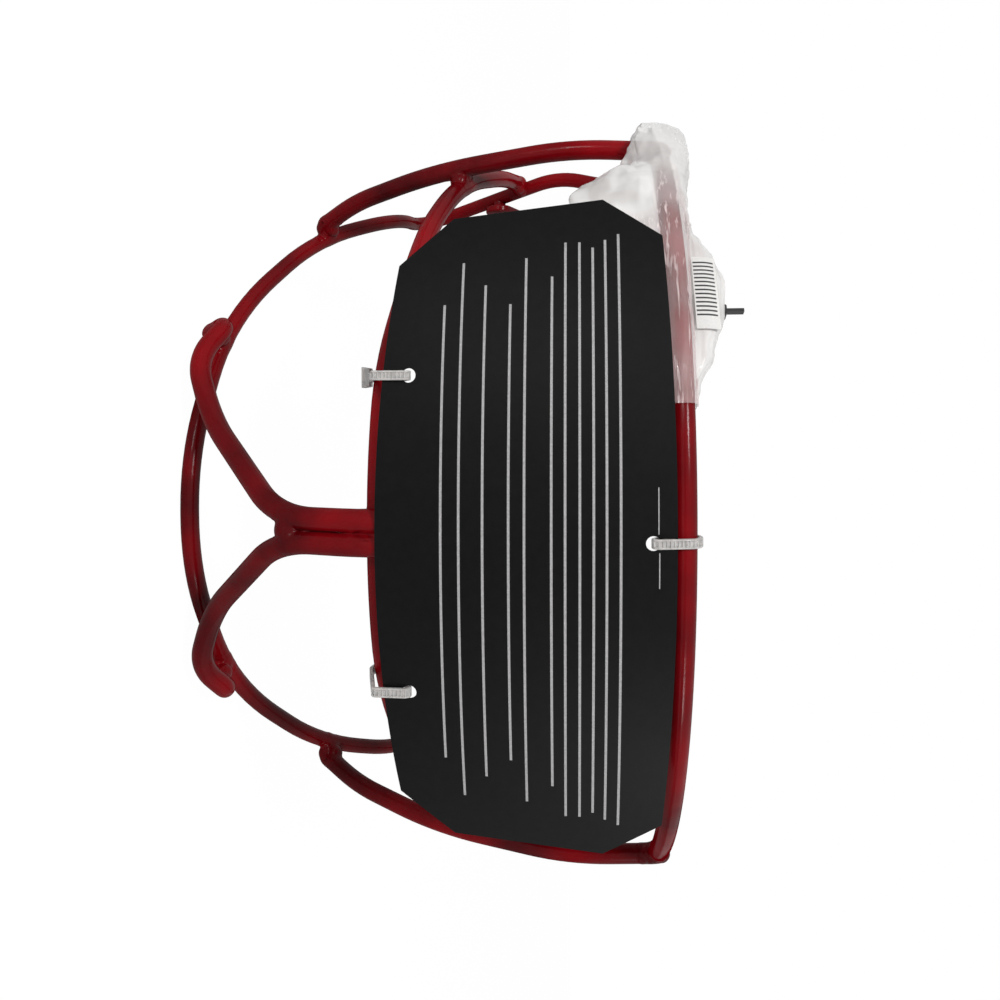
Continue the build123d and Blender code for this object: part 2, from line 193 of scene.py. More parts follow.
def dip_coat(name):
    """Glossy dipped plastic between a deep and a bright red."""
    material, tree, shader = new_material(name)
    patches = noise_of(tree, 24.0, 4.0)
    colour = ramp_of(tree, patches, [(0.34, DEEP_RED), (0.68, BRIGHT_RED)])
    tree.links.new(colour, shader.inputs["Base Color"])
    smears = noise_of(tree, 160.0, 5.0, 0.6)
    tree.links.new(range_of(tree, smears, *COAT_ROUGHNESS), shader.inputs["Roughness"])
    waver = bump_of(tree, noise_of(tree, 150.0, 2.0), 0.4 * MM, 0.30)
    skin = bump_of(tree, noise_of(tree, 2400.0, 2.0), 0.04 * MM, 0.4, waver)
    tree.links.new(skin, shader.inputs["Normal"])
    facing = add_node(tree, "LayerWeight", None, Blend=0.5).outputs["Facing"]
    gloss = add_node(tree, "MapRange", None, Value=facing, i1=FADE_FACING[0],
                     i2=FADE_FACING[1], i3=COAT_GLOSS, i4=0.0)
    tree.links.new(gloss.outputs["Result"], shader.inputs["Specular IOR Level"])
    return material


wire_coat = dip_coat("red_dip_coat")
wires = ["brow_bar", "jaw_wire", "right_side_wire", "left_side_wire", "nose_bar",
         "right_chin_wire", "left_chin_wire"]
eyelets = ["right_temple_eyelet", "left_temple_eyelet",
           "right_cheek_eyelet", "left_cheek_eyelet"]
welds = ["brow_welds", "nose_bar_welds", "cheek_welds", "side_wire_welds", "chin_welds",
         "centre_welds", "eyelet_welds"]
dress(wires + eyelets + welds, wire_coat)
print("coated nodes:", len(wires + eyelets + welds))

# %% [markdown]
# Where wires meet, the dip fills the corner round the weld, and the joint looks melted. The
# CAD weld is a plain bead, so each joint gets a skin instead. The wires near a joint are cut
# out with a ball, joined with the bead, and remeshed into one closed surface. Smoothing
# rounds its corner, and towards the ball's edge the skin sinks into the wires, so that no
# border shows. All joints of one weld node go into one piece, which replaces that node.

# %% Tools for the joints' skins
BALL_FINENESS = 3


def clamp(value):
    """A value kept between 0 and 1."""
    return min(max(value, 0.0), 1.0)


def eased(share):
    """A share from 0 to 1 that starts and ends softly."""
    return share * share * (3.0 - 2.0 * share)


def mesh_object(name, mesh):
    """An object in the scene that shows a mesh."""
    thing = bpy.data.objects.new(name, mesh)
    scene.collection.objects.link(thing)
    return thing


def baked(thing):
    """The object's mesh with its modifiers worked in."""
    depsgraph = bpy.context.evaluated_depsgraph_get()
    return bpy.data.meshes.new_from_object(thing.evaluated_get(depsgraph))


def islands(mesh):
    """The separate closed parts of a mesh, each as a list of its points."""
    work = bmesh.new()
    work.from_mesh(mesh)
    work.verts.ensure_lookup_table()
    seen, groups = set(), []
    for start in work.verts:
        if start.index in seen:
            continue
        seen.add(start.index)
        queue, group = [start], []
        while queue:
            vert = queue.pop()
            group.append(vert.co.copy())
            for edge in vert.link_edges:
                other = edge.other_vert(vert)
                if other.index not in seen:
                    seen.add(other.index)
                    queue.append(other)
        groups.append(group)
    work.free()
    return groups


def ball(centre, radius):
    """A round cutter for the joints."""
    work = bmesh.new()
    bmesh.ops.create_icosphere(work, subdivisions=BALL_FINENESS, radius=radius,
                               matrix=Matrix.Translation(centre))
    mesh = bpy.data.meshes.new("ball")
    work.to_mesh(mesh)
    work.free()
    return mesh_object("ball", mesh)


def cut_out(node_name, cutter):
    """The part of a CAD node inside the cutter, as a mesh."""
    thing = mesh_object("cut", nodes[node_name].data.copy())
    modifier = thing.modifiers.new("cut", "BOOLEAN")
    modifier.operation = "INTERSECT"
    modifier.object = cutter
    modifier.solver = "EXACT"
    mesh = baked(thing)
    bpy.data.objects.remove(thing)
    return mesh


print("weld nodes:", len(welds))

# %% [markdown]
# A skin stands out by a seventh of a millimetre, as a dip leaves it, and its voxels measure a
# third of a millimetre. Lumps from a noise keep it from looking turned on a lathe. The work
# has two steps: collect the shells inside the ball, then melt them into one skin.

# %% Skin of one joint
CUT_REACH = 7.6 * MM
NEAR_SHARE = 0.72
BEAD_SHARE = 0.92
JOINT_VOXEL = 0.34 * MM
JOINT_GROWTH = 0.14 * MM
JOINT_SINK = 0.50 * MM
JOINT_LUMP = 0.12 * MM
LUMPS_PER_METRE = 420.0
SMOOTH_SHARE = 0.80
SMOOTH_PASSES = 14
FADE_FROM, FADE_OVER = 0.62, 0.30


def joint_shells(bead, centre, near_names):
    """The wires and the bead inside the ball, as one object of overlapping shells."""
    shells = bmesh.new()
    cutter = ball(centre, CUT_REACH)
    reach = NEAR_SHARE * CUT_REACH
    for name in near_names:
        if any((vert.co - centre).length < reach for vert in nodes[name].data.vertices):
            shells.from_mesh(cut_out(name, cutter))
    bpy.data.objects.remove(cutter)
    lump = ball(centre, BEAD_SHARE * max((point - centre).length for point in bead))
    shells.from_mesh(lump.data)
    bpy.data.objects.remove(lump)
    mesh = bpy.data.meshes.new("joint")
    shells.to_mesh(mesh)
    shells.free()
    return mesh_object("joint", mesh)


def joint_skin(work_into, bead, near_names):
    """Adds the skin round one bead to a bmesh."""
    centre = sum(bead, Vector()) / len(bead)
    thing = joint_shells(bead, centre, near_names)
    remesh = thing.modifiers.new("remesh", "REMESH")
    remesh.mode = "VOXEL"
    remesh.voxel_size = JOINT_VOXEL
    skin = bmesh.new()
    skin.from_mesh(baked(thing))
    bpy.data.objects.remove(thing)
    inner = [v for v in skin.verts if (v.co - centre).length < SMOOTH_SHARE * CUT_REACH]
    for _ in range(SMOOTH_PASSES):
        bmesh.ops.smooth_vert(skin, verts=inner, factor=0.5,
                              use_axis_x=True, use_axis_y=True, use_axis_z=True)
    skin.normal_update()
    for vert in skin.verts:
        share = (vert.co - centre).length / CUT_REACH
        fade = eased(clamp((share - FADE_FROM) / FADE_OVER))
        lumps = JOINT_LUMP * noise.noise(vert.co * LUMPS_PER_METRE) * (1.0 - fade)
        vert.co += vert.normal * (JOINT_GROWTH * (1.0 - fade) - JOINT_SINK * fade + lumps)
    mesh = bpy.data.meshes.new("joint")
    skin.to_mesh(mesh)
    skin.free()
    work_into.from_mesh(mesh)


print("a joint's ball is", round(CUT_REACH / MM, 1), "mm in radius")

# %% [markdown]
# Each weld node holds the beads of one kind of joint, for instance those of the chin wires.
# A loop makes the skins of a node's beads, and they take the node's place as one piece.

# %% Melted joints
def melted_joints(node_name, piece_name):
    """One piece with the skins of all joints of a weld node."""
    work = bmesh.new()
    for bead in islands(nodes[node_name].data):
        joint_skin(work, bead, wires + eyelets)
    mesh = bpy.data.meshes.new(piece_name)
    work.to_mesh(mesh)
    work.free()
    mesh.shade_smooth()
    mesh.materials.append(wire_coat)
    piece = mesh_object(piece_name, mesh)
    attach(piece, "root")
    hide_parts(node_name)
    return piece


for weld in welds:
    piece = melted_joints(weld, weld.replace("welds", "joints"))
    print(piece.name, "faces:", len(piece.data.polygons))

# %% [markdown]
# The card is black, with a satin varnish that shows only where the light slides along it.
# A mottle that is hardly seen, faint scuffs and fine pores keep it from looking like a hole
# in the picture.

# %% Black card
def black_card():
    """Black under a satin varnish with faint scuffs."""
    material, tree, shader = new_material("black_card")
    mottle = noise_of(tree, 420.0, 6.0, 0.65)
    blacks = [(0.3, (0.0012, 0.0012, 0.0014)), (0.7, (0.0028, 0.0028, 0.0032))]
    tree.links.new(ramp_of(tree, mottle, blacks), shader.inputs["Base Color"])
    scuffs = noise_of(tree, 36.0, 7.0, 0.62)
    tree.links.new(range_of(tree, scuffs, 0.42, 0.56), shader.inputs["Roughness"])
    pores = bump_of(tree, noise_of(tree, 3200.0, 2.0), 0.02 * MM, 0.3)
    tree.links.new(pores, shader.inputs["Normal"])
    shader.inputs["Specular IOR Level"].default_value = 0.10
    return material


satin_black = black_card()
dress(["hang_card"], satin_black)

# %% [markdown]
# The card is bent as a tall cylinder is, so the place of its front face follows from the
# distance to its middle. The tools below know that. One gives the place of the front face and
# one lays a thin strip on it. Two more serve many pieces: rings of points are joined into a
# skin, and a finished mesh becomes a piece that rides on the guard.

# %% Tools for the card and for skins
CARD_RADIUS = 225.0
CARD_FRONT = -4.4
CARD_THICK = 0.8
INK_PROUD = 0.03
STRIP_STEP = 2.0


def card_front(x):
    """Where the card's front face is, at a distance from the middle."""
    return CARD_FRONT + CARD_RADIUS - sqrt(CARD_RADIUS ** 2 - x ** 2)


def join_rings(work, rings, closed=False):
    """Faces between rings of points; a closed row of rings also joins the last to the first."""
    for first, second in zip(rings, rings[1:] + rings[:1] if closed else rings[1:]):
        for a in range(len(first)):
            b = (a + 1) % len(first)
            work.faces.new((first[a], first[b], second[b], second[a]))


def strip(work, left, right, height, width):
    """A strip along the card's face between two places across it."""
    count = max(1, round((right - left) / STRIP_STEP))
    # Each corner in widths from the strip's middle, and in ink heights before the card's face
    corners = ((-0.5, -2.0), (-0.5, 1.0), (0.5, 1.0), (0.5, -2.0))
    rings = []
    for step in range(count + 1):
        x = left + (right - left) * step / count
        y = card_front(x)
        rings.append([work.verts.new(Vector((x, y - INK_PROUD * face, height + width * side)) * MM)
                      for side, face in corners])
    join_rings(work, rings)
    work.faces.new(rings[0])
    work.faces.new(rings[-1][::-1])


def piece_from(work, name, material, smooth_angle=None):
    """Turns a bmesh into a piece that rides on the guard."""
    bmesh.ops.recalc_face_normals(work, faces=work.faces)
    mesh = bpy.data.meshes.new(name)
    work.to_mesh(mesh)
    work.free()
    if smooth_angle is not None:
        mesh.shade_smooth()
        mesh.set_sharp_from_angle(angle=radians(smooth_angle))
    mesh.materials.append(material)
    piece = mesh_object(name, mesh)
    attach(piece, "root")
    return piece


print("the card's front is at", CARD_FRONT, "mm in its middle")

# %% [markdown]
# The card is cut by a die: straight slanted corners, a top edge and a foot that are slightly
# arched, and three round holes for the ties. Its outline and its holes are drawn flat here,
# with the holes as loops of their own.

# %% Outline of the card
# Corners of the right half, from the top down: distance from the middle, and height
CARD_CORNERS = ((74.4, -4.4), (84.8, -19.1), (80.4, -57.5), (67.6, -71.0))
CARD_TOP_MIDDLE = -2.2
CARD_FOOT_MIDDLE = -75.0
ARCH_STEPS = 40
TOP_HOLE = (0.8, -7.8)
LOW_HOLE = (39.3, -67.2)
TIE_HOLE_RADIUS = 1.8
TIE_HOLE_STEPS = 28


def arched(corner, middle):
    """Points of a shallow arch from a corner on the right to the same corner on the left."""
    half, height = corner
    places = [half * (1.0 - 2.0 * step / ARCH_STEPS) for step in range(ARCH_STEPS + 1)]
    return [(x, middle + (height - middle) * (x / half) ** 2) for x in places]


card_edge = arched(CARD_CORNERS[0], CARD_TOP_MIDDLE) + [(-x, z) for x, z in CARD_CORNERS[1:3]]
card_edge += arched(CARD_CORNERS[3], CARD_FOOT_MIDDLE)[::-1] + list(CARD_CORNERS[2:0:-1])
card_loops = [card_edge]
hole_turns = [2 * pi * step / TIE_HOLE_STEPS for step in range(TIE_HOLE_STEPS)]
for hole_x, hole_z in (TOP_HOLE, LOW_HOLE, (-LOW_HOLE[0], LOW_HOLE[1])):
    card_loops.append([(hole_x + TIE_HOLE_RADIUS * cos(t), hole_z + TIE_HOLE_RADIUS * sin(t))
                       for t in hole_turns])
print("card outline:", len(card_edge), "points and", len(card_loops) - 1, "holes")

# %% [markdown]
# The flat blank is filled between its loops, sliced every two millimetres so that it can
# bend, given its thickness, and laid on the cylinder.

# %% Die-cut card
CARD_SLICE = 2
CARD_HALF = 84

work = bmesh.new()
for loop in card_loops:
    points = [work.verts.new((x, 0.0, z)) for x, z in loop]
    for first, second in zip(points, points[1:] + points[:1]):
        work.edges.new((first, second))
bmesh.ops.triangle_fill(work, use_beauty=True, use_dissolve=False, edges=work.edges[:])
for cut in range(-CARD_HALF, CARD_HALF + 1, CARD_SLICE):
    bmesh.ops.bisect_plane(work, geom=work.verts[:] + work.edges[:] + work.faces[:],
                           plane_co=(cut, 0.0, 0.0), plane_no=(1.0, 0.0, 0.0))
bmesh.ops.recalc_face_normals(work, faces=work.faces)
faces_front = sum(face.normal.y for face in work.faces) < 0
bmesh.ops.solidify(work, geom=work.faces[:], thickness=CARD_THICK if faces_front else -CARD_THICK)
for vert in work.verts:
    vert.co = Vector((vert.co.x, vert.co.y + card_front(vert.co.x), vert.co.z)) * MM
foremost = min(vert.co.y for vert in work.verts)
die_cut = piece_from(work, "die_cut_card", satin_black, smooth_angle=30)
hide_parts("hang_card")
print("card's front at", round(foremost / MM, 2), "mm")

# %% [markdown]
# Rows of plain rules cross the card. They are strips of white ink, a few hundredths of a
# millimetre proud of it and bent as it is, because an ink with a thickness takes its own
# light. Two thinner marks beside the top hole show the slit that such cards have there.

# %% Rules on the card
RULE_WIDTH = 0.62
SLIT_WIDTH = 0.26
SLIT_MARKS = ((-12.5, -1.4, -6.6), (3.0, 11.5, -6.4))

# Columns: height of the rule, half its length
rule_rows = ((-15.4, 75.0), (-18.7, 73.5), (-21.8, 71.5), (-25.1, 73.0), (-28.6, 73.0),
             (-31.9, 64.0), (-38.4, 69.0), (-42.2, 57.0), (-48.5, 62.0), (-54.3, 68.0),
             (-58.7, 57.0))

whites = [(0.35, (0.26, 0.26, 0.26)), (0.65, (0.36, 0.36, 0.37))]
ink = grained("white_ink", (2600.0, 3.0), whites, (0.5, 0.7))[0]
rule_work = bmesh.new()
for height, half in rule_rows:
    strip(rule_work, -half, half, height, RULE_WIDTH)
rules = piece_from(rule_work, "card_rules", ink)

slit_work = bmesh.new()
for left, right, height in SLIT_MARKS:
    strip(slit_work, left, right, height, SLIT_WIDTH)
slit = piece_from(slit_work, "hang_slit", ink)
print("rules:", len(rule_rows), "and slit marks:", len(SLIT_MARKS))

# %% [markdown]
# A cable tie is pulled tight round what it holds: here, a circle in the card's hole and one at
# the bar. A tight strap lies as the hull of those circles, the line that a rubber band takes.
# The tool below finds it, and gives even steps along it with the direction that faces outwards.

# %% Path of a tight strap
RUNG_PITCH = 0.95
RINGS_PER_RUNG = 6
CIRCLE_DOTS = 90


def hull_of(dots):
    """The hull of dots in a plane, anticlockwise and without its last point twice."""
    dots = sorted(dots)
    hull = []
    for run in (dots, dots[::-1]):
        part = []
        for dot in run:
            while len(part) > 1 and ((part[-1][0] - part[-2][0]) * (dot[1] - part[-2][1])
                                     - (part[-1][1] - part[-2][1]) * (dot[0] - part[-2][0])) <= 0:
                part.pop()
            part.append(dot)
        hull += part[:-1]
    return hull


def tight_loop(circles):
    """Points and outward directions round circles, as a strap pulled tight lies."""
    dots = []
    for across, up, radius in circles:
        for step in range(CIRCLE_DOTS):
            turn = 2 * pi * step / CIRCLE_DOTS
            dots.append((across + radius * cos(turn), up + radius * sin(turn)))
    hull = [Vector(dot) for dot in hull_of(dots)]
    hull.append(hull[0])
    lengths = [0.0]
    for first, second in zip(hull, hull[1:]):
        lengths.append(lengths[-1] + (second - first).length)
    count = round(lengths[-1] / RUNG_PITCH) * RINGS_PER_RUNG
    points, at = [], 0
    for step in range(count):
        want = lengths[-1] * step / count
        while lengths[at + 1] < want:
            at += 1
        share = (want - lengths[at]) / max(lengths[at + 1] - lengths[at], 1e-9)
        points.append(hull[at].lerp(hull[at + 1], share))
    loop = []
    for number, point in enumerate(points):
        along = points[(number + 1) % count] - points[number - 1]
        loop.append((point, Vector((along.y, -along.x)).normalized()))
    return loop


print("rungs stand", RUNG_PITCH, "mm apart")

# %% [markdown]
# The strap is a ladder: two rails with rungs between them, moulded in milky nylon. It is
# built as a ribbon of rings. Each ring is the strap's cross-section, and the middle of it
# lies high on a rung and low between rungs. The head is a block with rounded edges.

# %% Strap and head of a tie
UP = Vector((0, 0, 1))
STRAP_WIDTH = 2.4
STRAP_THICK = 1.0
STRAP_UNDERCUT = 0.2
STRAP_ROUND = 0.15
RAIL_SHOULDER = 0.18
RAIL_TOP, RAIL_FOOT = 0.42, 0.52
RUNG_DEPTH = 0.34
GAP_FROM, GAP_TO = 0.25, 0.9
HEAD_EDGE = 0.3


def strap_section(middle):
    """The strap's cross-section, with its middle between the rails at that height."""
    half, thick = STRAP_WIDTH / 2, STRAP_THICK / 2
    left = [(-half + STRAP_UNDERCUT, -thick), (-half, -thick + STRAP_ROUND),
            (-half, thick - RAIL_SHOULDER), (-half + STRAP_ROUND, thick),
            (-half + RAIL_TOP, thick), (-half + RAIL_FOOT, middle)]
    return left + [(-wide, high) for wide, high in left[::-1]]


def ladder_strap(work, origin, across, side, loop):
    """A closed ribbed strap; across and UP span its plane, side is the strap's width."""
    rings = []
    for number, (point, out) in enumerate(loop):
        phase = (number % RINGS_PER_RUNG) / RINGS_PER_RUNG
        middle = STRAP_THICK / 2 - (RUNG_DEPTH if GAP_FROM < phase < GAP_TO else 0.0)
        outward = across * out.x + UP * out.y
        place = origin + across * point.x + UP * point.y
        rings.append([work.verts.new((place + side * wide + outward * high) * MM)
                      for wide, high in strap_section(middle)])
    join_rings(work, rings, closed=True)


def tie_block(work, centre, across, side, size, taper=0.88):
    """A block with rounded edges that narrows to one end."""
    made = bmesh.ops.create_cube(work, size=1.0)["verts"]
    for vert in made:
        wide, deep, high = vert.co
        slim = taper if high > 0 else 1.0
        vert.co = (centre + side * (wide * size[0] * slim)
                   + across * (deep * size[1] * slim) + UP * (high * size[2])) * MM
    edges = list({edge for vert in made for edge in vert.link_edges})
    bmesh.ops.bevel(work, geom=edges, offset=HEAD_EDGE * MM, segments=3, profile=0.6,
                    affect="EDGES")


print("strap:", STRAP_WIDTH, "x", STRAP_THICK, "mm")

# %% [markdown]
# Natural nylon is neither white nor clear. Light enters it and comes out again a little
# further on, which subsurface scattering does, and its moulded skin is smooth but not
# polished. The black tie at the bag's neck is the same stuff in another colour.

# %% Nylon
def nylon(name, dark, light, milky):
    """Moulded nylon between two colours; milky is its share of scattered light."""
    stops = [(0.30, dark), (0.70, light)]
    material, tree, shader, _ = grained(name, (700.0, 4.0), stops, (0.26, 0.40))
    skin = bump_of(tree, noise_of(tree, 3500.0, 2.0), 0.03 * MM, 0.35)
    tree.links.new(skin, shader.inputs["Normal"])
    shader.inputs["Subsurface Weight"].default_value = milky
    shader.inputs["Subsurface Radius"].default_value = (1.0, 0.9, 0.8)
    shader.inputs["Subsurface Scale"].default_value = 0.0012
    shader.inputs["Specular IOR Level"].default_value = 0.45
    return material


milky_nylon = nylon("milky_nylon", (0.36, 0.355, 0.35), (0.50, 0.49, 0.48), 0.4)
black_nylon = nylon("black_nylon", (0.010, 0.010, 0.010), (0.020, 0.020, 0.021), 0.0)
print("nylons ready")

# %% [markdown]
# The card's three ties are made by one function, from the place of a tie's plane, the circles
# that it goes round, and its head's place. The top tie goes round the brow bar and through the
# hole at the card's top.

# %% Top tie
BROW_RADIUS = 134.3
WIRE_RADIUS = 3.0
STRAP_GAP = 0.3
HOLE_BEND = 1.2
# A head's width, depth and height
HEAD = (5.6, 3.8, 2.2)
TAIL_LENGTH, TAIL_OUT = 2.0, 0.6
ACROSS, SIDE = Vector((0, 1, 0)), Vector((1, 0, 0))
ROUND_BAR = WIRE_RADIUS + STRAP_GAP + STRAP_THICK / 2
BEFORE_CARD = -STRAP_GAP - STRAP_THICK / 2


def nylon_tie(name, node, origin, circles, head):
    """A tie from its plane's origin, the circles in it and its head's place in it."""
    work = bmesh.new()
    ladder_strap(work, origin, ACROSS, SIDE, tight_loop(circles))
    centre = origin + ACROSS * head[0] + UP * head[1]
    tie_block(work, centre, ACROSS, SIDE, HEAD)
    tail = centre + ACROSS * (HEAD[1] / 2 + TAIL_OUT)
    tie_block(work, tail, ACROSS, SIDE, (STRAP_WIDTH, TAIL_LENGTH, STRAP_THICK), 1.0)
    tie = piece_from(work, name, milky_nylon, smooth_angle=38)
    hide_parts(node)


in_hole = (card_front(TOP_HOLE[0]) + BEFORE_CARD + HOLE_BEND, HOLE_BEND + TOP_HOLE[1], HOLE_BEND)
nylon_tie("top_nylon_tie", "top_tie", Vector((TOP_HOLE[0], 0, 0)),
          (in_hole, (0, 0, ROUND_BAR)), (ROUND_BAR + HEAD[1] / 2, 0.0))
print("top tie made")

# %% [markdown]
# The two lower ties go through holes near the card's foot, round its edge and round the nose
# bar behind it. The left one has its head under the bar and the right one behind it.

# %% Lower ties
NOSE_RADIUS = 112.2
NOSE_SETBACK = 5.7
NOSE_DROP = 76.6
LOW_EDGE_DROP = 76.3
EDGE_BEND = 0.8
HEAD_FORWARD, HEAD_BELOW = 1.0, 0.7

low_x, low_z = LOW_HOLE
for sign, name, node in ((-1, "lower_left_nylon_tie", "lower_left_tie"),
                         (1, "lower_right_nylon_tie", "lower_right_tie")):
    hole = Vector((sign * low_x, card_front(low_x), 0))
    to_bar = NOSE_SETBACK + NOSE_RADIUS - sqrt(NOSE_RADIUS ** 2 - low_x ** 2) - hole.y
    circles = ((BEFORE_CARD + HOLE_BEND, low_z - HOLE_BEND, HOLE_BEND),
               (BEFORE_CARD + EDGE_BEND, EDGE_BEND - LOW_EDGE_DROP, EDGE_BEND),
               (to_bar, -NOSE_DROP, ROUND_BAR))
    below = (to_bar - HEAD_FORWARD, -NOSE_DROP - ROUND_BAR - HEAD_BELOW)
    behind = (to_bar + ROUND_BAR + HEAD[1] / 2, -NOSE_DROP)
    nylon_tie(name, node, hole, circles, below if sign < 0 else behind)
    print(name, "made, its bar is", round(to_bar, 1), "mm behind the card's face")

# %% [markdown]
# The bag is thin clear film, which gathers into soft folds. It has three forms: a hood round
# the end of the brow bar with a flap that hangs from it, a sleeve along the bar, and a pouch
# behind the bar. All of them follow the bar's arc, so the shape is built in steps along that
# arc. The table says how the film's sizes change on the way, in millimetres from the bar.

# %% Sizes of the film along the bar
# Columns: angle along the bar, lowest, hood's front, hood's top, dip behind it, pouch's crest, back
film_rows = (
    (13.6, -3.7, 3.8, 3.8, 3.6, 3.8, -4.0),
    (16.0, -3.8, 3.9, 3.8, 3.6, 5.4, -5.5),
    (20.0, -3.8, 4.0, 3.8, 3.7, 9.4, -8.0),
    (25.0, -3.9, 4.0, 3.9, 3.8, 12.8, -8.6),
    (29.3, -4.0, 4.1, 4.0, 3.8, 13.6, -8.6),
    (33.0, -6.5, 4.4, 4.3, 4.0, 11.2, -8.6),
    (35.5, -21.0, 4.8, 4.8, 4.4, 8.8, -8.4),
    (38.0, -27.0, 5.2, 5.0, 4.6, 6.6, -8.0),
    (42.5, -27.0, 5.6, 5.4, 4.8, 5.4, -7.6),
    (44.6, -25.0, 6.2, 6.4, 5.8, 6.0, -7.6),
    (46.4, -21.0, 6.5, 7.0, 6.4, 6.6, -7.7),
    (47.2, -12.4, 6.7, 7.4, 6.8, 7.0, -7.8),
    (49.0, -11.6, 6.8, 7.8, 7.2, 7.4, -7.8),
    (53.0, -11.8, 7.4, 8.8, 8.4, 8.4, -8.2),
    (57.0, -9.8, 7.8, 9.4, 9.0, 8.8, -8.2),
    (61.0, -6.8, 7.6, 9.2, 8.8, 8.4, -7.4),
    (65.0, -4.0, 6.6, 8.0, 7.6, 7.2, -5.6),
)


def film_size(angle, column):
    """The value in the film's table at an angle, with a smooth passage between its rows."""
    if angle <= film_rows[0][0]:
        return film_rows[0][column]
    for first, second in zip(film_rows, film_rows[1:]):
        if angle <= second[0]:
            share = eased((angle - first[0]) / (second[0] - first[0]))
            return first[column] * (1.0 - share) + second[column] * share
    return film_rows[-1][column]


print("film stations:", len(film_rows))

# %% [markdown]
# At each step a closed outline is drawn in the upright plane across the bar. It runs from the
# lowest point up the hood's front, over its top, down into the dip, over the pouch's crest and
# down its back. Fourteen points are enough, because a smooth curve passes through them.

# %% Outline of the film across the bar
def film_outline(angle):
    """Points of the film's outline across the bar: distance in front of it, and height."""
    low, front, top, dip, crest, back = (film_size(angle, column) for column in range(1, 7))
    return [
        (0.6, low),
        (front * 0.86, low * 0.72 - 0.6),
        (front * 0.98, low * 0.30 - 0.9),
        (front, top * 0.30),
        (front * 0.62, top * 0.92),
        (front * 0.14, top),
        (-0.45, dip + 0.35),
        (-0.75, max(crest * 0.74, dip + 0.1)),
        (-3.4, crest),
        (back * 0.90, crest * 0.80),
        (back, crest * 0.22 - 0.6),
        (back, low * 0.35 - 1.2),
        (back * 0.94, low * 0.72),
        (back * 0.48, low * 0.97),
    ]


def closed_curve(points, count):
    """Points at even shares of a smooth closed curve through the given ones."""
    total = len(points)
    smooth = []
    for step in range(count):
        place = step / count * total
        at = floor(place)
        t = place - at
        p0, p1, p2, p3 = (Vector(points[(at + shift) % total]) for shift in (-1, 0, 1, 2))
        smooth.append(0.5 * (2 * p1 + (p2 - p0) * t + (2 * p0 - 5 * p1 + 4 * p2 - p3) * t * t
                             + (3 * p1 - p0 - 3 * p2 + p3) * t ** 3))
    return smooth


print("outline points:", len(film_outline(film_rows[0][0])))

# %% [markdown]
# Film shows its creases as sharp lines between smooth panels. The plain size of a noise, with
# its sign dropped, has just such lines, where the noise passes through zero. One such noise
# less another gives folds that stand out and folds that sink in. They are stretched along the
# bar on the sleeve, and down the flap. A soft noise under them gives the larger hollows.

# %% Folds of the film
FILM_START, FILM_END = 13.6, 65.8
SLEEVE_END = 32.0
SLEEVE_FADE = 6.0
MOUTH_FADE = 3.0
FLAP_FROM, FLAP_FADE = -5.0, 6.0
BACK_FROM, BACK_FADE = -3.0, 3.0
ELSEWHERE = Vector((31.7, 12.3, 5.9))


def crease(place, stretch, size):
    """Smooth panels with sharp folds between them, some outwards and some inwards."""
    there = Vector(a / b for a, b in zip(place, stretch)) / size
    return abs(noise.noise(there)) - abs(noise.noise(there + ELSEWHERE))


def film_depth(angle, along, point):
    """How far the film is pushed in at a place, in millimetres."""
    here = Vector((along, point.x * 2.0, point.y))
    # Where the place is: on the sleeve, down the flap, behind the bar
    sleeve = 1.0 - clamp((angle - SLEEVE_END) / SLEEVE_FADE)
    flap = clamp((FLAP_FROM - point.y) / FLAP_FADE)
    behind = clamp((BACK_FROM - point.x) / BACK_FADE)
    front = 1.0 - behind
    # Soft hollows, long folds of the sleeve, broad panels and small wrinkles
    soft = noise.noise(here * 0.085) * 0.9 + noise.noise(here * 0.19 + Vector((7, 3, 1))) * 0.45
    lengthways = crease(here, (14.0, 1.0, 1.0), 2.4)
    panels = crease(here + Vector((40, 0, 0)), (2.4, 1.5, 1.8), 8.0)
    wrinkles = crease(here + Vector((0, 90, 0)), (4.0, 1.0, 1.3), 2.8)
    depth = 0.45 + soft * 0.35 * (1.0 - 0.6 * sleeve * front)
    depth += 0.5 * sleeve * front * lengthways
    depth += (2.2 * flap + 0.9) * (1.0 - 0.8 * sleeve * front) * (1.0 - 0.5 * behind) * panels
    depth += 0.36 * (1.0 - 0.5 * sleeve) * wrinkles
    # Near the sleeve's mouth the film lies closer to the bar
    return depth * (0.3 + 0.7 * clamp((angle - FILM_START) / MOUTH_FADE))


print("film from", FILM_START, "to", FILM_END, "degrees along the bar")

# %% [markdown]
# The outlines are set up along the bar, each point is pushed in by the folds' depth, and the
# rings are joined. Past the bar's end the outlines shrink to a point, which closes the hood.
# The sleeve's mouth stays open.

# %% Crinkled film
FILM_STATIONS = 250
FILM_POINTS = 150
CLOSE_FROM = 60.5
CLOSE_SHARPNESS = 2.2
LEAST_SIZE = 0.02


def on_bar(angle, ahead, height):
    """A point near the left half of the brow bar: angle along its arc, ahead of it, height."""
    turn = radians(angle)
    reach = BROW_RADIUS + ahead
    return Vector((-reach * sin(turn), BROW_RADIUS - reach * cos(turn), height))


